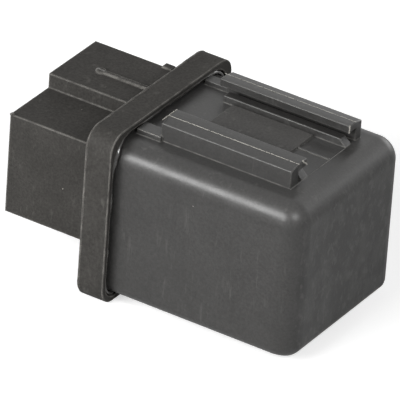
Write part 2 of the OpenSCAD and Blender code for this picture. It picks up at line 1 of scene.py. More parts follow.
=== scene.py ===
import json
import math
import bmesh
import bpy
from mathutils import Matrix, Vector, noise


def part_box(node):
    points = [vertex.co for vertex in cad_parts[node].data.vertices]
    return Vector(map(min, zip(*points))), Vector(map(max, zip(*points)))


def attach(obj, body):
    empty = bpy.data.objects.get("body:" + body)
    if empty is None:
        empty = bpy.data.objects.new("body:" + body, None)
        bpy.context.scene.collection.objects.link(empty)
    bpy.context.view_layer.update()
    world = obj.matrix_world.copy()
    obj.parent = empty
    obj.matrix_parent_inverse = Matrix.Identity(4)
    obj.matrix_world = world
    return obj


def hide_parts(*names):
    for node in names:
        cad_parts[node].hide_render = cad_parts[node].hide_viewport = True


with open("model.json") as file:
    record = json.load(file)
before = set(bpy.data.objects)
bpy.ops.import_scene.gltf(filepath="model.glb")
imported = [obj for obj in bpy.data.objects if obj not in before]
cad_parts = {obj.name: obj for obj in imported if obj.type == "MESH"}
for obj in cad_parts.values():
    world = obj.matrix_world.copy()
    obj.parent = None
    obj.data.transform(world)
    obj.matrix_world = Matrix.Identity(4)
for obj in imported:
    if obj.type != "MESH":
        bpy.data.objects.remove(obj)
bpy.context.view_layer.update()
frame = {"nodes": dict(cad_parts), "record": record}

MM = 0.001
NODES = frame["nodes"]
SCENE = bpy.context.scene

# Sizes that the frame's boxes don't give, in millimetres.

# Cover: a cup with ball corners at its closed end.
COVER_WALL = 1.2
COVER_HIGH_R = 3.4
COVER_LOW_R = 1.6
SOFT_EDGE = 0.15

# Rails on the roof: a web with a lip that reaches inwards and a sloped outer half.
RAIL_H = 3.2
RAIL_START = 3.8
RAIL_L = 21.4
NEAR_RAIL_OUT = 9.0
NEAR_WEB = 2.0
FAR_RAIL_OUT = 9.5
FAR_WEB = 1.4
LIP_REACH = 2.0
LIP_T = 1.2
SLOPE_W = 1.8
SLOPE_H = 0.45
NEAR_LIP = NEAR_RAIL_OUT - NEAR_WEB - LIP_REACH
FAR_LIP = FAR_RAIL_OUT - FAR_WEB - LIP_REACH

# Ribs inside the rails, the pad between them, the ridge after it and the rails' feet.
RIB_START = 4.9
RIB_H = 1.1
RIB_W = 1.5
RIB_SLOT = 1.1
PAD_START = 6.6
PAD_L = 13.4
PAD_H = 0.35
PAD_NEAR_GAP = 0.3
PAD_FAR_GAP = 0.2
RIDGE_Y = (1.1, 1.6)
RIDGE_H = 0.2
FOOT_H = 0.8
FOOT_OVERLAP = 0.3
NEAR_FOOT_OUT = NEAR_RAIL_OUT + 0.5
FAR_FOOT_OUT = FAR_RAIL_OUT + 0.4
ROOT = 0.5

# Collar, the groove round the cover, and the keyed shroud.
COLLAR_T = 4.2
COLLAR_OUT = 1.6
COLLAR_CORNER = 2.8
GROOVE = 0.8
GROOVE_DEPTH = 2.2
SEAL_DEPTH = 0.8
BASE_SOFT_EDGE = 0.16
KEY_DROP = 1.3
KEY_RIDGE_Y = 3.8
KEY_RIDGE_L = 14.4
SHROUD_TOP = 22.3
MOUTH_CORNER_Y = 10.9
STUB_BACK = 8.4
STUB_L = 1.6
STUB_Y = (10.3, 11.5)
STUB_RISE = 0.25
STUB_DROP = 0.6

WIRE_R = 0.13

cover_low, cover_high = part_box("cover")
base_low, base_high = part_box("connector_base")
ROOF_Z = cover_high.z - RAIL_H * MM
COLLAR_X = cover_low.x + GROOVE_DEPTH * MM
KEY_TOP = base_high.z - (COLLAR_OUT + KEY_DROP) * MM


# ------------------------------------------------------------ small helpers

def show(piece):
    SCENE.collection.objects.link(piece)
    return piece


def plain_mesh(piece):
    """Keeps what the modifiers make as the piece's own mesh."""
    bpy.context.view_layer.update()
    made = piece.evaluated_get(bpy.context.evaluated_depsgraph_get())
    mesh = bpy.data.meshes.new_from_object(made)
    mesh.name = piece.name
    piece.modifiers.clear()
    piece.data = mesh
    return piece


def place(kind, at, settings=None, **options):
    """A node of a tree, with options on it and settings or links on its sockets."""
    made = at.nodes.new(kind)
    for name, value in options.items():
        setattr(made, name, value)
    for name, value in (settings or {}).items():
        if isinstance(value, bpy.types.NodeSocket):
            at.links.new(value, made.inputs[name])
        else:
            made.inputs[name].default_value = value
    return made


def maths(at, operation, first, second=0.0, third=0.0):
    made = place("ShaderNodeMath", at, {0: first, 1: second, 2: third}, operation=operation)
    return made.outputs[0]


def span(at, value, from_low, from_high, to_low=0.0, to_high=1.0):
    made = place("ShaderNodeMapRange", at, {
        "Value": value, "From Min": from_low, "From Max": from_high,
        "To Min": to_low, "To Max": to_high})
    return made.outputs["Result"]


def blended(at, share, first, second):
    made = place("ShaderNodeMix", at, {0: share, 6: first, 7: second}, data_type="RGBA")
    return made.outputs[2]


def new_group(name, kind, inputs, outputs):
    """A node group with named sockets: name, socket kind and default."""
    group = bpy.data.node_groups.new(name, kind)
    for label, socket, default in inputs:
        made = group.interface.new_socket(label, in_out="INPUT", socket_type=socket)
        if default is not None:
            made.default_value = default
    for label, socket in outputs:
        group.interface.new_socket(label, in_out="OUTPUT", socket_type=socket)
    return group, group.nodes.new("NodeGroupInput").outputs, group.nodes.new("NodeGroupOutput")


FLOAT, COLOUR, VECTOR = "NodeSocketFloat", "NodeSocketColor", "NodeSocketVector"
GREY = (0.5, 0.5, 0.5, 1)
WHITE = (1, 1, 1, 1)


# ------------------------------------------------------- effects for finishes

def grain_effect():
    """Uneven tone and fine speckle of a moulded surface."""
    group, given, out = new_group(
        "moulded grain", "ShaderNodeTree",
        [("Color", COLOUR, GREY), ("Tone Spread", FLOAT, 0.1),
         ("Blotch Scale", FLOAT, 150), ("Grain Scale", FLOAT, 4000)],
        [("Color", COLOUR), ("Tone", FLOAT), ("Height", FLOAT)])
    where = place("ShaderNodeTexCoord", group).outputs["Object"]
    blotch = place("ShaderNodeTexNoise", group, {
        "Vector": where, "Scale": given["Blotch Scale"], "Detail": 4, "Roughness": 0.6})
    fine = place("ShaderNodeTexNoise", group, {
        "Vector": where, "Scale": given["Grain Scale"], "Detail": 3, "Roughness": 0.7})
    tone = span(group, blotch.outputs[0], 0.3, 0.7, -1, 1)
    lift = maths(group, "MULTIPLY_ADD", tone, given["Tone Spread"], 1.0)
    speckle = span(group, fine.outputs[0], 0.3, 0.7, 0.76, 1.24)
    shaded = place("ShaderNodeVectorMath", group,
                   {0: given["Color"], "Scale": maths(group, "MULTIPLY", lift, speckle)},
                   operation="SCALE")
    group.links.new(shaded.outputs[0], out.inputs["Color"])
    group.links.new(tone, out.inputs["Tone"])
    group.links.new(fine.outputs[0], out.inputs["Height"])
    return group


def edge_effect():
    """Paler colour where an edge is rubbed."""
    group, given, out = new_group(
        "rubbed edges", "ShaderNodeTree",
        [("Color", COLOUR, GREY), ("Edge Color", COLOUR, WHITE),
         ("Width", FLOAT, 0.0002), ("Amount", FLOAT, 0.5)],
        [("Color", COLOUR), ("Edge", FLOAT)])
    where = place("ShaderNodeTexCoord", group).outputs["Object"]
    rounded = place("ShaderNodeBevel", group, {"Radius": given["Width"]}, samples=6)
    flat = place("ShaderNodeNewGeometry", group).outputs["Normal"]
    facing = place("ShaderNodeVectorMath", group, {0: rounded.outputs[0], 1: flat},
                   operation="DOT_PRODUCT").outputs["Value"]
    edge = span(group, facing, 0.995, 0.93)
    patches = place("ShaderNodeTexNoise", group, {"Vector": where, "Scale": 700, "Detail": 4})
    broken = span(group, patches.outputs[0], 0.35, 0.6, 0.35, 1.0)
    amount = maths(group, "MULTIPLY", maths(group, "MULTIPLY", edge, broken), given["Amount"])
    group.links.new(blended(group, amount, given["Color"], given["Edge Color"]),
                    out.inputs["Color"])
    group.links.new(amount, out.inputs["Edge"])
    return group


def rub_effect():
    """Streaks and patches of another colour."""
    group, given, out = new_group(
        "rub marks", "ShaderNodeTree",
        [("Color", COLOUR, GREY), ("Mark Color", COLOUR, WHITE), ("Scale", FLOAT, 300),
         ("Stretch", VECTOR, (1, 1, 1)), ("Threshold", FLOAT, 0.6), ("Amount", FLOAT, 0.3)],
        [("Color", COLOUR), ("Mark", FLOAT)])
    where = place("ShaderNodeTexCoord", group).outputs["Object"]
    drawn = place("ShaderNodeVectorMath", group, {0: where, 1: given["Stretch"]},
                  operation="MULTIPLY").outputs[0]
    streaks = place("ShaderNodeTexNoise", group, {
        "Vector": drawn, "Scale": given["Scale"], "Detail": 5, "Roughness": 0.6})
    full = maths(group, "ADD", given["Threshold"], 0.12)
    mark = maths(group, "MULTIPLY", span(group, streaks.outputs[0], given["Threshold"], full),
                 given["Amount"])
    group.links.new(blended(group, mark, given["Color"], given["Mark Color"]),
                    out.inputs["Color"])
    group.links.new(mark, out.inputs["Mark"])
    return group


def fleck_effect():
    """Small round flecks of dust."""
    group, given, out = new_group(
        "dust flecks", "ShaderNodeTree",
        [("Color", COLOUR, GREY), ("Fleck Color", COLOUR, WHITE), ("Scale", FLOAT, 500),
         ("Size", FLOAT, 0.12), ("Share", FLOAT, 0.1)],
        [("Color", COLOUR), ("Fleck", FLOAT)])
    where = place("ShaderNodeTexCoord", group).outputs["Object"]
    cells = place("ShaderNodeTexVoronoi", group, {"Vector": where, "Scale": given["Scale"]})
    chance = place("ShaderNodeSeparateColor", group, {0: cells.outputs["Color"]}).outputs[0]
    chosen = maths(group, "LESS_THAN", chance, given["Share"])
    near = maths(group, "LESS_THAN", cells.outputs["Distance"], given["Size"])
    fleck = maths(group, "MULTIPLY", chosen, near)
    group.links.new(blended(group, fleck, given["Color"], given["Fleck Color"]),
                    out.inputs["Color"])
    group.links.new(fleck, out.inputs["Fleck"])
    return group


EFFECTS = {"grain": grain_effect(), "edges": edge_effect(), "rubs": rub_effect(),
           "flecks": fleck_effect()}


def effect(at, name, **settings):
    made = place("ShaderNodeGroup", at, node_tree=EFFECTS[name])
    for label, value in settings.items():
        socket = made.inputs[label.replace("_", " ")]
        if isinstance(value, bpy.types.NodeSocket):
            at.links.new(value, socket)
        else:
            socket.default_value = value
    return made.outputs


def rgba(colour, share=1.0):
    """A colour for a socket, lightened or darkened by a share."""
    return (*(min(1.0, channel * share) for channel in colour), 1.0)


def new_material(name, metallic=0.0, specular=0.5, coat=0.0):
    material = bpy.data.materials.new(name)
    material.use_nodes = True
    tree = material.node_tree
    shader = tree.nodes["Principled BSDF"]
    shader.inputs["Metallic"].default_value = metallic
    shader.inputs["Specular IOR Level"].default_value = specular
    shader.inputs["Coat Weight"].default_value = coat
    return material, tree, shader


def finish_surface(tree, shader, colour, height, depth, rough, tone, swing=0.06):
    """Links a finish's colour, its uneven roughness and its bump to the shader."""
    tree.links.new(colour, shader.inputs["Base Color"])
    tree.links.new(span(tree, tone, -1, 1, rough - swing, rough + swing),
                   shader.inputs["Roughness"])
    bump = place("ShaderNodeBump", tree, {"Height": height, "Distance": depth, "Strength": 0.6})
    tree.links.new(bump.outputs[0], shader.inputs["Normal"])


def worn_end(tree, base, colour, amount):
    """Dark mottling and pale handling marks on the face that looks along +X."""
    facing = place("ShaderNodeSeparateXYZ", tree, {
        0: place("ShaderNodeTexCoord", tree).outputs["Normal"]}).outputs["X"]
    on_end = span(tree, facing, 0.75, 0.97, 0.0, amount)
    dark = effect(tree, "rubs", Color=base, Mark_Color=rgba(colour, 0.5),
                  Scale=330, Stretch=(1, 1, 0.8), Threshold=0.44, Amount=1.0)
    pale = effect(tree, "rubs", Color=dark["Color"], Mark_Color=rgba(colour, 1.9),
                  Scale=1300, Stretch=(1, 1, 0.7), Threshold=0.53, Amount=0.8)
    return blended(tree, on_end, base, pale["Color"])


def moulded_plastic(name, colour, rough, edge, edge_amount=0.5, specular=0.4, tone=0.1,
                    grain=2600, depth=0.02 * MM, marks=0.12, flecks=0.012, scuffs=0.3,
                    stretch=(1, 1, 0.15), edge_width=0.3 * MM, end_wear=0.0):
    """Plastic with grain, pale rubs, dark scuffs, pale edges and dust."""
    material, tree, shader = new_material(name, specular=specular)
    ground = effect(tree, "grain", Color=rgba(colour), Tone_Spread=tone, Grain_Scale=grain)
    rubbed = effect(tree, "rubs", Color=ground["Color"], Mark_Color=rgba(edge), Scale=900,
                    Stretch=stretch, Amount=marks)
    scuffed = effect(tree, "rubs", Color=rubbed["Color"], Mark_Color=rgba(colour, 0.45),
                     Scale=520, Stretch=stretch, Amount=scuffs)
    worn = scuffed["Color"]
    if end_wear:
        worn = worn_end(tree, worn, colour, end_wear)
    edged = effect(tree, "edges", Color=worn, Edge_Color=rgba(edge),
                   Width=edge_width, Amount=edge_amount)
    dusted = effect(tree, "flecks", Color=edged["Color"], Fleck_Color=(0.5, 0.48, 0.44, 1),
                    Scale=900, Size=0.055, Share=flecks)
    finish_surface(tree, shader, dusted["Color"], ground["Height"], depth, rough, ground["Tone"])
    return material


def worked_metal(name, colour, rough, stretch=(0.1, 1, 1), tone=0.08, edge_amount=0.3):
    """Metal with drawing marks along one axis and brighter edges."""
    material, tree, shader = new_material(name, metallic=1.0)
    ground = effect(tree, "grain", Color=rgba(colour), Tone_Spread=tone, Grain_Scale=2500)
    drawn = effect(tree, "rubs", Color=ground["Color"], Mark_Color=rgba(colour, 0.6),
                   Scale=2500, Stretch=stretch, Amount=0.5)
    edged = effect(tree, "edges", Color=drawn["Color"], Edge_Color=rgba(colour, 1.25),
                   Width=0.15 * MM, Amount=edge_amount)
    finish_surface(tree, shader, edged["Color"], ground["Height"], 0.006 * MM, rough,
                   ground["Tone"], 0.08)
    return material


def glossy_resin(name, colour, rough, coat=0.6):
    """Resin or lacquer with cloudy tone under a clear coat."""
    material, tree, shader = new_material(name, specular=0.5, coat=coat)
    ground = effect(tree, "grain", Color=rgba(colour), Tone_Spread=0.25, Blotch_Scale=400,
                    Grain_Scale=1200)
    dusted = effect(tree, "flecks", Color=ground["Color"], Fleck_Color=(0.3, 0.29, 0.27, 1),
                    Scale=1500, Size=0.1, Share=0.04)
    finish_surface(tree, shader, dusted["Color"], ground["Height"], 0.04 * MM, rough,
                   ground["Tone"])
    return material


def wound_wire(name, colour, pitch):
    """Lacquered wire, with one line of painted shade between turns along the coil's axis."""
    material, tree, shader = new_material(name, specular=0.5, coat=0.5)
    ground = effect(tree, "grain", Color=rgba(colour), Tone_Spread=0.15, Grain_Scale=2000)
    where = place("ShaderNodeTexCoord", tree).outputs["Object"]
    across = place("ShaderNodeSeparateXYZ", tree, {0: where}).outputs["X"]
    turn = maths(tree, "FRACT", maths(tree, "DIVIDE", across, pitch))
    # Painted shade: the wire's colour is darkened in the crease between neighbouring turns.
    painted_valley_shade = span(tree, maths(tree, "ABSOLUTE", maths(tree, "SUBTRACT", turn, 0.5)),
                  0.35, 0.5)
    shade = blended(tree, painted_valley_shade, ground["Color"], rgba(colour, 0.3))
    finish_surface(tree, shader, shade, ground["Height"], 0.01 * MM, 0.35, ground["Tone"])
    return material


# ------------------------------------------------------------------ finishes

LIGHT_EDGE = (0.24, 0.235, 0.22)
COVER_FINISH = moulded_plastic(
    "satin cover plastic", (0.034, 0.0332, 0.032), 0.37, LIGHT_EDGE, 0.5, specular=0.5,
    tone=0.08, marks=0.12, scuffs=0.35, end_wear=0.85)
PAD_FINISH = moulded_plastic(
    "matte pad plastic", (0.068, 0.066, 0.0635), 0.6, LIGHT_EDGE, 0.5, specular=0.3,
    tone=0.08, depth=0.03 * MM, marks=0.2)
BASE_FINISH = moulded_plastic(
    "matte base plastic", (0.048, 0.0459, 0.0429), 0.50, (0.30, 0.29, 0.27), 0.7,
    specular=0.04, tone=0.14, depth=0.04 * MM, marks=0.10, flecks=0.02,
    stretch=(1, 0.6, 0.4), edge_width=0.4 * MM)
PALE_FINISH = moulded_plastic(
    "polished ridge plastic", (0.10, 0.098, 0.093), 0.4, LIGHT_EDGE, 0.3, specular=0.5)
FLASH_FINISH = moulded_plastic(
    "torn flash", (0.30, 0.29, 0.26), 0.6, (0.5, 0.48, 0.45), 0.5, specular=0.3)
SEAL_FINISH = glossy_resin("sealing resin", (0.028, 0.026, 0.024), 0.22)
COPPER_WIRE = wound_wire("lacquered copper wire", (0.50, 0.17, 0.06), 2 * WIRE_R * MM)

SLOT_FINISH = {
    "cover_plastic": COVER_FINISH,
    "base_plastic": BASE_FINISH,
    "sealing_resin": SEAL_FINISH,
    "tinned_brass": worked_metal("tinned blade", (0.66, 0.65, 0.61), 0.32),
    "strip_copper_alloy": worked_metal("copper alloy strip", (0.72, 0.50, 0.28), 0.30),
    "contact_silver": worked_metal("silver contact", (0.85, 0.85, 0.82), 0.24,
                                   stretch=(1, 1, 1)),
    "plated_steel": worked_metal("zinc plated iron", (0.58, 0.56, 0.50), 0.38, tone=0.12),
    "bobbin_plastic": moulded_plastic("natural bobbin plastic", (0.70, 0.62, 0.47), 0.45,
                                      (0.85, 0.8, 0.68), 0.3, marks=0.03, flecks=0.01),
    "enamelled_copper": COPPER_WIRE,
    "winding_tape": glossy_resin("amber film tape", (0.52, 0.33, 0.07), 0.25, 0.4),
    "fibre_sheet": moulded_plastic("fibre sheet", (0.26, 0.13, 0.07), 0.7,
                                   (0.4, 0.25, 0.16), 0.3, tone=0.25, grain=1800,
                                   depth=0.05 * MM),
    "rivet_steel": worked_metal("rivet steel", (0.62, 0.61, 0.58), 0.34, stretch=(1, 1, 1)),
    "resistor_body": glossy_resin("resistor lacquer", (0.10, 0.26, 0.36), 0.3, 0.5),
    "tinned_wire": worked_metal("tinned wire", (0.72, 0.72, 0.70), 0.28),
    "spring_bronze": worked_metal("spring bronze", (0.70, 0.46, 0.20), 0.28,
                                  stretch=(1, 1, 0.1)),
    "spring_steel": worked_metal("spring wire", (0.55, 0.55, 0.55), 0.3),
    "bare_copper": worked_metal("bare copper braid", (0.66, 0.28, 0.13), 0.4,
                                stretch=(1, 1, 1), tone=0.3),
}
for part in frame["record"]["subparts"]:
    mesh = NODES[part["node"]].data
    mesh.materials.clear()
    mesh.materials.append(SLOT_FINISH[part["material_slot"]])


# ------------------------------------------------------------- moulded shells

def with_soft_edges(piece, radius, *finishes):
    """Rounds a moulding's edges and gives it its finishes."""
    for face in piece.data.polygons:
        face.use_smooth = True
    edge = piece.modifiers.new("rounded edges", "BEVEL")
    edge.width = radius
    edge.segments = 3
    edge.limit_method = "ANGLE"
    edge.angle_limit = math.radians(32)
    even = piece.modifiers.new("even shading", "WEIGHTED_NORMAL")
    even.keep_sharp = True
    for finish in finishes:
        piece.data.materials.append(finish)
    return plain_mesh(piece)


def merged_copy(node, name, extra_bars=()):
    """A copy of a moulding whose loose triangles are joined and whose flats are whole."""
    mesh = NODES[node].data.copy()
    mesh.name = name
    mesh.materials.clear()
    work = bmesh.new()
    work.from_mesh(mesh)
    bmesh.ops.remove_doubles(work, verts=work.verts, dist=1e-6)
    bmesh.ops.dissolve_limit(work, angle_limit=math.radians(1), verts=work.verts,
                             edges=work.edges)
    for (x0, x1), (y0, y1), (z0, z1) in extra_bars:
        bar = add_bar(work, box_profile(y0, y1, z0, z1), x0, x1)
        bmesh.ops.recalc_face_normals(work, faces=bar)
    work.to_mesh(mesh)
    work.free()
    return show(bpy.data.objects.new(name, mesh))


def outline(half_w, low_z, high_z, low_r, high_r, steps=12):
    """Points round a rectangle with round corners, in the Y-Z plane."""
    corners = [(half_w - high_r, high_z - high_r, high_r, 0),
               (high_r - half_w, high_z - high_r, high_r, 90),
               (low_r - half_w, low_z + low_r, low_r, 180),
               (half_w - low_r, low_z + low_r, low_r, 270)]
    points = []
    for y, z, radius, start in corners:
        for step in range(steps + 1):
            turn = math.radians(start + 90 * step / steps)
            points.append((y + radius * math.cos(turn), z + radius * math.sin(turn)))
    return points


def shell_rings(inset, start_x):
    """The cover's form drawn in by a distance: rings along X, with ball corners at its end."""
    high_r = (COVER_HIGH_R - inset) * MM
    low_r = max(COVER_LOW_R - inset, 0.3) * MM
    half_w = cover_high.y - inset * MM
    low_z, high_z = cover_low.z + inset * MM, ROOF_Z - inset * MM
    end_x = cover_high.x - inset * MM
    straight = 6
    places = [(start_x + (end_x - high_r - start_x) * k / straight, 0.0)
              for k in range(straight)]
    steps = 14
    for k in range(steps + 1):
        turn = math.radians(90 * k / steps)
        places.append((end_x - high_r * (1 - math.sin(turn)), high_r * (1 - math.cos(turn))))
    rings = []
    least = 0.01 * MM
    for x, drawn_in in places:
        into_low = max(0.0, x - end_x + low_r)
        low_in = low_r - math.sqrt(max(0.0, low_r ** 2 - into_low ** 2))
        rings.append([Vector((x, y, z)) for y, z in outline(
            half_w - drawn_in, low_z + low_in, high_z - drawn_in,
            max(low_r - low_in, least), max(high_r - drawn_in, least))])
    return rings


def add_shell(work, outer, inner):
    """A closed cup: outer rings, their cap, inner rings, their cap, and the rim between."""
    rows = [[work.verts.new(point) for point in ring]
            for ring in list(reversed(inner)) + outer]
    count = len(rows[0])
    for here, there in zip(rows, rows[1:]):
        for k in range(count):
            work.faces.new((here[k], here[(k + 1) % count],
                            there[(k + 1) % count], there[k]))
    work.faces.new(rows[0])
    work.faces.new(rows[-1])


def add_bar(work, profile, low, high, along="X"):
    """A closed bar: a profile in the other two axes, pulled along X or Y."""
    ends, faces = [], []
    for at in (low, high):
        ends.append([work.verts.new(Vector((at, a, b) if along == "X" else (a, at, b)) * MM)
                     for a, b in profile])
    count = len(profile)
    for k in range(count):
        faces.append(work.faces.new((ends[0][k], ends[0][(k + 1) % count],
                                     ends[1][(k + 1) % count], ends[1][k])))
    return faces + [work.faces.new(ends[0]), work.faces.new(ends[1])]


def rail_profile(side, out, web, roof):
    """A rail's outline in the Y-Z plane, from its outer root round to its inner root."""
    top = roof + RAIL_H
    lip = out - web - LIP_REACH
    return [(side * y, z) for y, z in (
        (out, roof - ROOT), (out, top - SLOPE_H), (out - SLOPE_W, top), (lip, top),
        (lip, top - LIP_T), (out - web, top - LIP_T), (out - web, roof - ROOT))]


def box_profile(y0, y1, low, high):
    return [(y0, low), (y1, low), (y1, high), (y0, high)]


def cover_mesh():
    work = bmesh.new()
    add_shell(work, shell_rings(0, cover_low.x), shell_rings(COVER_WALL, cover_low.x))
    roof = ROOF_Z / MM
    face = COLLAR_X / MM
    start = face + RAIL_START
    end = start + RAIL_L
    root = roof - ROOT
    for side, out, web in ((-1, NEAR_RAIL_OUT, NEAR_WEB), (1, FAR_RAIL_OUT, FAR_WEB)):
        add_bar(work, rail_profile(side, out, web, roof), start, end)
        rib = side * (out - web - RIB_SLOT)
        low, high = sorted((rib, rib - side * RIB_W))
        add_bar(work, [(face + RIB_START, root), (face + RIB_START, roof + RIB_H),
                       (end - RIB_H, roof + RIB_H), (end, roof), (end, root)],
                low, high, along="Y")
    pad_x = face + PAD_START
    pad_y0 = RIB_SLOT + NEAR_WEB - NEAR_RAIL_OUT + RIB_W + PAD_NEAR_GAP
    pad_y1 = FAR_RAIL_OUT - FAR_WEB - RIB_SLOT - RIB_W - PAD_FAR_GAP
    pad = add_bar(work, box_profile(pad_y0, pad_y1, root, roof + PAD_H), pad_x, pad_x + PAD_L)
    for side in pad:
        side.material_index = 1
    foot_x = (face + 0.1, start + FOOT_OVERLAP)
    for (x0, x1), (y0, y1), rise in (
            ((pad_x + PAD_L - ROOT, end - 0.1), RIDGE_Y, RIDGE_H),
            (foot_x, (-NEAR_FOOT_OUT, NEAR_WEB - NEAR_RAIL_OUT), FOOT_H),
            (foot_x, (FAR_RAIL_OUT - FAR_WEB, FAR_FOOT_OUT), FOOT_H)):
        add_bar(work, box_profile(y0, y1, root, roof + rise), x0, x1)
    bmesh.ops.recalc_face_normals(work, faces=work.faces)
    mesh = bpy.data.meshes.new("cover_shell")
    work.to_mesh(mesh)
    work.free()
    return mesh


cover_shell = with_soft_edges(show(bpy.data.objects.new("cover_shell", cover_mesh())),
                              SOFT_EDGE * MM, COVER_FINISH, PAD_FINISH)
stub_x = COLLAR_X / MM - STUB_BACK
stub = ((stub_x, stub_x + STUB_L), STUB_Y, (KEY_TOP / MM - STUB_DROP, KEY_TOP / MM + STUB_RISE))
base_shell = with_soft_edges(merged_copy("connector_base", "connector_shell", [stub]),
                             BASE_SOFT_EDGE * MM, BASE_FINISH)


def evenly(points, gap):
    """A closed loop of points in the plane, as near as possible to a gap apart."""
    loop = points + points[:1]
    made = []
    for (y0, z0), (y1, z1) in zip(loop, loop[1:]):
        parts = max(1, round(math.hypot(y1 - y0, z1 - z0) / gap))
        made += [(y0 + (y1 - y0) * k / parts, z0 + (z1 - z0) * k / parts)
                 for k in range(parts)]
    return made


def swept_ring(name, loop, x, radius_of, finish, sides=8):
    """A closed bead along a loop in the Y-Z plane, with its own size at each point."""
    work = bmesh.new()
    rings = []
    count = len(loop)
    for i, (y, z) in enumerate(loop):
        (ya, za), (yb, zb) = loop[i - 1], loop[(i + 1) % count]
        out = Vector((0, zb - za, ya - yb)).normalized()
        reach, rise, shift = radius_of(Vector((x, y, z)))
        rings.append([work.verts.new(Vector((x + shift, y, z))
                      + out * reach * math.cos(math.tau * k / sides)
                      + Vector((1, 0, 0)) * rise * math.sin(math.tau * k / sides))
                      for k in range(sides)])
    for i in range(count):
        here, there = rings[i], rings[(i + 1) % count]
        for k in range(sides):
            work.faces.new((here[k], here[(k + 1) % sides],
                            there[(k + 1) % sides], there[k]))
    bmesh.ops.recalc_face_normals(work, faces=work.faces)
    for face in work.faces:
        face.smooth = True
    mesh = bpy.data.meshes.new(name)
    work.to_mesh(mesh)
    work.free()
    mesh.materials.append(finish)
    return show(bpy.data.objects.new(name, mesh))


groove_mid = evenly(outline(
    cover_high.y + GROOVE / 2 * MM, cover_low.z - GROOVE / 2 * MM, ROOF_Z + GROOVE / 2 * MM,
    (COVER_LOW_R + GROOVE / 2) * MM, (COVER_HIGH_R + GROOVE / 2) * MM), 0.5 * MM)
drip = Vector((cover_low.x, -cover_high.y, ROOF_Z - 1.5 * MM))
DRIP_REACH = 2.6 * MM


def bead_size(point):
    """The seal's half width, half height and rise: wavy, and swollen at its one drip."""
    wave = noise.noise(point * 320) + 0.5 * noise.noise(point * 900)
    from_drip = (point - drip).length / DRIP_REACH
    swelling = 0.5 * math.exp(-from_drip * from_drip)
    return ((GROOVE / 2 - 0.02) * MM, (0.62 + 0.16 * wave + swelling) * MM,
            (0.10 * wave + 0.15 * swelling) * MM)


seal = swept_ring("groove_seal", groove_mid, COLLAR_X - SEAL_DEPTH * MM, bead_size,
                  SEAL_FINISH, 12)

rim_in, rim_lift = 0.06 * MM, 0.24 * MM
collar_rim = evenly(outline(
    base_high.y - rim_in, base_low.z + rim_lift, ROOF_Z + COLLAR_OUT * MM - rim_in,
    COLLAR_CORNER * MM, COLLAR_CORNER * MM), 0.4 * MM)


def flash_size(point):
    """The half width, half height and shift of the torn edge on the collar's plug side."""
    wave = noise.noise(point * 500) + 0.6 * noise.noise(point * 1500)
    return (0.13 + 0.14 * wave) * MM, (0.18 + 0.10 * wave) * MM, 0.10 * wave * MM


collar_flash = swept_ring("collar_flash", collar_rim, COLLAR_X - (COLLAR_T - 0.1) * MM,
                          flash_size, BASE_FINISH, 6)


# ---------------------------------------------------------- Geometry Nodes

INTEGER, MATERIAL = "NodeSocketInt", "NodeSocketMaterial"


def node_tree(name, inputs):
    group, given, out = new_group(name, "GeometryNodeTree", inputs,
                                  [("Geometry", "NodeSocketGeometry")])
    group.is_modifier = True
    return group, given, out


def end_tree(group, given, out, instances):
    real = place("GeometryNodeRealizeInstances", group, {"Geometry": instances})
    painted = place("GeometryNodeSetMaterial", group, {
        "Geometry": real.outputs[0], "Material": given["Material"]})
    group.links.new(painted.outputs[0], out.inputs["Geometry"])
    return group


def grown(name, tree, **values):
    """A piece made by a node tree, as a plain mesh."""
    piece = show(bpy.data.objects.new(name, bpy.data.meshes.new(name)))
    modifier = piece.modifiers.new(name, "NODES")
    modifier.node_group = tree
    identifiers = {item.name: item.identifier for item in tree.interface.items_tree
                   if item.in_out == "INPUT"}
    for label, value in values.items():
        modifier[identifiers[label.replace("_", " ")]] = value
    return plain_mesh(piece)


def turns_tree():
    """Rings of wire in a row, all on one axis along X."""
    group, given, out = node_tree("wire turns", [
        ("Start", VECTOR, (0, 0, 0)), ("Turns", INTEGER, 10), ("Pitch", FLOAT, 0.0003),
        ("Coil Radius", FLOAT, 0.005), ("Wire Radius", FLOAT, 0.0001),
        ("Material", MATERIAL, None)])
    ring = place("GeometryNodeCurvePrimitiveCircle", group,
                 {"Resolution": 64, "Radius": given["Coil Radius"]})
    wire = place("GeometryNodeCurvePrimitiveCircle", group,
                 {"Resolution": 6, "Radius": given["Wire Radius"]})
    turn = place("GeometryNodeCurveToMesh", group,
                 {"Curve": ring.outputs["Curve"], "Profile Curve": wire.outputs["Curve"]})
    upright = place("GeometryNodeTransform", group,
                    {"Geometry": turn.outputs[0], "Rotation": (0, math.pi / 2, 0)})
    step = place("ShaderNodeCombineXYZ", group, {"X": given["Pitch"]})
    row = place("GeometryNodeMeshLine", group, {
        "Count": given["Turns"], "Start Location": given["Start"],
        "Offset": step.outputs[0]})
    copies = place("GeometryNodeInstanceOnPoints", group, {
        "Points": row.outputs[0], "Instance": upright.outputs[0]})
    return end_tree(group, given, out, copies.outputs[0])


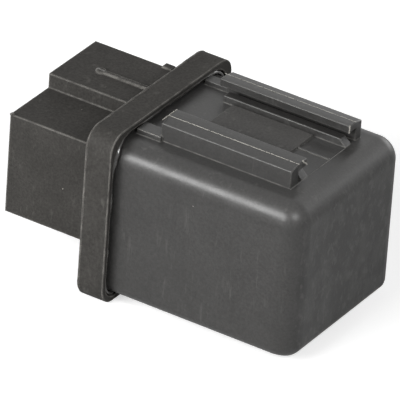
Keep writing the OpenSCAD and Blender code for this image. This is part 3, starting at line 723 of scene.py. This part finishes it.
def chips_tree():
    """Small torn chips of flash along a straight edge."""
    group, given, out = node_tree("torn chips", [
        ("Start", VECTOR, (0, 0, 0)), ("End", VECTOR, (0.01, 0, 0)), ("Count", INTEGER, 40),
        ("Smallest", VECTOR, (0.0001, 0.0001, 0.0001)),
        ("Largest", VECTOR, (0.0003, 0.0001, 0.0001)),
        ("Scatter", VECTOR, (0.0001, 0.0001, 0)), ("Seed", INTEGER, 1),
        ("Material", MATERIAL, None)])
    line = place("GeometryNodeMeshLine", group, {
        "Count": given["Count"], "Start Location": given["Start"], "Offset": given["End"]},
        mode="END_POINTS")
    back = place("ShaderNodeVectorMath", group, {0: given["Scatter"], "Scale": -1.0},
                 operation="SCALE")
    spread = place("FunctionNodeRandomValue", group, {
        0: back.outputs[0], 1: given["Scatter"], "Seed": given["Seed"]},
        data_type="FLOAT_VECTOR")
    moved = place("GeometryNodeSetPosition", group, {
        "Geometry": line.outputs[0], "Offset": spread.outputs[0]})
    chip = place("GeometryNodeMeshIcoSphere", group, {"Radius": 1.0, "Subdivisions": 2})
    size = place("FunctionNodeRandomValue", group, {
        0: given["Smallest"], 1: given["Largest"],
        "Seed": maths(group, "ADD", given["Seed"], 7)}, data_type="FLOAT_VECTOR")
    twist = place("FunctionNodeRandomValue", group, {
        0: (-0.15, -0.1, -0.2), 1: (0.15, 0.1, 0.2), "Seed": given["Seed"]},
        data_type="FLOAT_VECTOR")
    copies = place("GeometryNodeInstanceOnPoints", group, {
        "Points": moved.outputs[0], "Instance": chip.outputs[0],
        "Rotation": twist.outputs[0], "Scale": size.outputs[0]})
    return end_tree(group, given, out, copies.outputs[0])


winding_low, winding_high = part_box("coil_winding")
winding_axis = (winding_low + winding_high) / 2
winding_turns = int((winding_high.x - winding_low.x) / (2 * WIRE_R * MM))
winding = grown(
    "wound_coil", turns_tree(),
    Start=(winding_low.x + WIRE_R * MM, winding_axis.y, winding_axis.z),
    Turns=winding_turns,
    Pitch=(winding_high.x - winding_low.x - 2 * WIRE_R * MM) / (winding_turns - 1),
    Coil_Radius=winding_high.y - WIRE_R * MM, Wire_Radius=WIRE_R * MM, Material=COPPER_WIRE)

CHIPS = chips_tree()


def edge_chips(name, start, end, count, smallest, largest, scatter, seed, finish):
    """Chips from start to end. Places are in metres, and half sizes in millimetres."""
    return grown(name, CHIPS, Start=start, End=end, Count=count,
                 Smallest=tuple(v * MM for v in smallest),
                 Largest=tuple(v * MM for v in largest),
                 Scatter=tuple(v * MM for v in scatter), Seed=seed, Material=finish)


rail_x0 = COLLAR_X + RAIL_START * MM
rail_x1 = rail_x0 + RAIL_L * MM
rail_top = cover_high.z
near_crease = (SLOPE_W - NEAR_RAIL_OUT) * MM
far_crease = (FAR_RAIL_OUT - SLOPE_W) * MM
far_lip = (FAR_LIP + 0.1) * MM
key_y = KEY_RIDGE_Y * MM
key_end = COLLAR_X - KEY_RIDGE_L * MM
mouth_y, mouth_z = -MOUTH_CORNER_Y * MM, base_low.z + SHROUD_TOP * MM
foot_y, foot_z = -NEAR_FOOT_OUT * MM, ROOF_Z + FOOT_H * MM

cover_trim = [
    edge_chips("near_rail_flash", (rail_x0, near_crease, rail_top),
               (rail_x1, near_crease, rail_top), 90,
               (0.1, 0.04, 0.03), (0.28, 0.09, 0.07), (0.1, 0.03, 0), 3, FLASH_FINISH),
    edge_chips("far_rail_flash", (rail_x0, far_crease, rail_top),
               (rail_x1, far_crease, rail_top), 90,
               (0.1, 0.03, 0.02), (0.28, 0.06, 0.05), (0.1, 0.03, 0), 5, FLASH_FINISH),
    edge_chips("near_rail_end_flash", (rail_x0, (0.3 - NEAR_RAIL_OUT) * MM, rail_top),
               (rail_x0, (-NEAR_LIP - 0.1) * MM, rail_top), 26,
               (0.04, 0.06, 0.04), (0.09, 0.2, 0.12), (0.02, 0.05, 0.03), 11, FLASH_FINISH),
    edge_chips("near_lip_flash", (rail_x1, (-NEAR_LIP - 1.2) * MM, rail_top),
               (rail_x1, -NEAR_LIP * MM, rail_top - 1.0 * MM), 16,
               (0.05, 0.05, 0.05), (0.14, 0.16, 0.2), (0.06, 0.06, 0.06), 12, FLASH_FINISH),
    edge_chips("far_lip_flash", (rail_x1, far_lip, rail_top),
               (rail_x1, far_lip, rail_top - 1.1 * MM), 14,
               (0.05, 0.04, 0.08), (0.12, 0.12, 0.2), (0.04, 0.04, 0.03), 13, FLASH_FINISH),
    edge_chips("roof_parting_line", (rail_x1, -9.1 * MM, ROOF_Z), (rail_x1, 5.4 * MM, ROOF_Z),
               130, (0.04, 0.06, 0.04), (0.07, 0.12, 0.06), (0.015, 0.02, 0), 17,
               PALE_FINISH)]
base_trim = [
    collar_flash,
    edge_chips("key_rib_crest", (key_end, key_y, KEY_TOP),
               (COLLAR_X - COLLAR_T * MM, key_y, KEY_TOP), 110,
               (0.16, 0.2, 0.34), (0.2, 0.26, 0.38), (0.02, 0.02, 0.01), 23, PALE_FINISH),
    edge_chips("key_rib_head", (key_end - 0.5 * MM, key_y, KEY_TOP),
               (key_end + 0.5 * MM, key_y, KEY_TOP), 4,
               (0.4, 0.42, 0.4), (0.46, 0.5, 0.44), (0.05, 0.05, 0.01), 29, PALE_FINISH),
    edge_chips("mouth_nub", (base_low.x + 0.25 * MM, mouth_y, mouth_z),
               (base_low.x + 0.6 * MM, mouth_y, mouth_z + 0.2 * MM), 3,
               (0.18, 0.14, 0.12), (0.26, 0.2, 0.22), (0.04, 0.04, 0.04), 31, BASE_FINISH)]
cover_trim.append(
    edge_chips("foot_flecks", (COLLAR_X + 0.3 * MM, foot_y, foot_z), (rail_x0, foot_y, foot_z),
               14, (0.04, 0.03, 0.03), (0.12, 0.07, 0.07), (0.08, 0.05, 0.03), 19,
               FLASH_FINISH))

for piece, node, slot in (
        (cover_shell, "cover", "cover_plastic"), (base_shell, "connector_base", "base_plastic"),
        (seal, "seal_bead", "sealing_resin"), (winding, "coil_winding", "enamelled_copper")):
    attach(piece, "housing")
    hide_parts(node)
for trim, slot in ((base_trim, "base_plastic"), (cover_trim, "cover_plastic")):
    for piece in trim:
        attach(piece, "housing")


# ------------------------------------------------------------ floor and light

def make_floor():
    """A pale floor just under the relay. It looks white to the camera but keeps the shadow."""
    mesh = bpy.data.meshes.new("floor")
    half = 3.0
    level = base_low.z - 0.02 * MM
    mesh.from_pydata([(-half, -half, level), (half, -half, level), (half, half, level),
                      (-half, half, level)], [], [(0, 1, 2, 3)])
    floor = show(bpy.data.objects.new("floor", mesh))
    material, tree, shader = new_material("pale floor", specular=0.0)
    shader.inputs["Base Color"].default_value = (0.82, 0.82, 0.82, 1)
    shader.inputs["Roughness"].default_value = 1.0
    shader.inputs["Emission Color"].default_value = WHITE
    seen = place("ShaderNodeLightPath", tree).outputs["Is Camera Ray"]
    tree.links.new(maths(tree, "MULTIPLY", seen, 0.55), shader.inputs["Emission Strength"])
    mesh.materials.append(material)


def make_world(ambient):
    """A dim room that looks white to the camera, in reflections and through glass."""
    world = bpy.data.worlds.new("pale room")
    SCENE.world = world
    world.use_nodes = True
    tree = world.node_tree
    rays = place("ShaderNodeLightPath", tree).outputs
    seen = maths(tree, "MAXIMUM", rays["Is Camera Ray"],
                 maths(tree, "MAXIMUM", rays["Is Glossy Ray"], rays["Is Transmission Ray"]))
    back = tree.nodes["Background"]
    back.inputs["Color"].default_value = WHITE
    tree.links.new(span(tree, seen, 0, 1, ambient, 1.0), back.inputs["Strength"])


MID_Z = 14 * MM


def make_lamp(name, direction, distance, size, power):
    """A rectangular lamp that faces the relay: metres for its place, watts for its power."""
    lamp = bpy.data.lights.new(name, "AREA")
    lamp.shape = "RECTANGLE"
    lamp.size, lamp.size_y = size
    lamp.energy = power
    holder = show(bpy.data.objects.new(name, lamp))
    back = Vector(direction).normalized()
    holder.location = Vector((0, 0, MID_Z)) + back * distance
    holder.rotation_euler = back.to_track_quat("Z", "Y").to_euler()


def make_camera():
    """A long lens at the relay's usual three-quarter view, turned a little on its axis."""
    azimuth, elevation, roll = map(math.radians, (30.58, 30.53, 4.17))
    target = Vector((0.554, 0, 12.592)) * MM
    distance = 1.0371
    back = Vector((math.sin(azimuth) * math.cos(elevation),
                   -math.cos(azimuth) * math.cos(elevation), math.sin(elevation)))
    camera = bpy.data.cameras.new("camera")
    camera.lens = 662.7
    camera.sensor_width = 36
    camera.clip_start, camera.clip_end = 0.05, 10
    holder = show(bpy.data.objects.new("camera", camera))
    holder.location = target + back * distance
    holder.rotation_euler = back.to_track_quat("Z", "Y").to_euler()
    holder.rotation_euler.rotate_axis("Z", roll)
    SCENE.camera = holder


make_floor()
make_world(0.11)
make_lamp("front softbox", (-0.34, -0.82, 0.46), 0.5, (0.42, 0.16), 2.9)
make_lamp("corner softbox", (0.64, -0.46, 0.60), 0.5, (0.15, 0.12), 0.95)
make_lamp("back softbox", (0.2, 0.95, 0.25), 0.5, (0.3, 0.15), 0.6)
make_camera()
SCENE.view_settings.view_transform = "Standard"
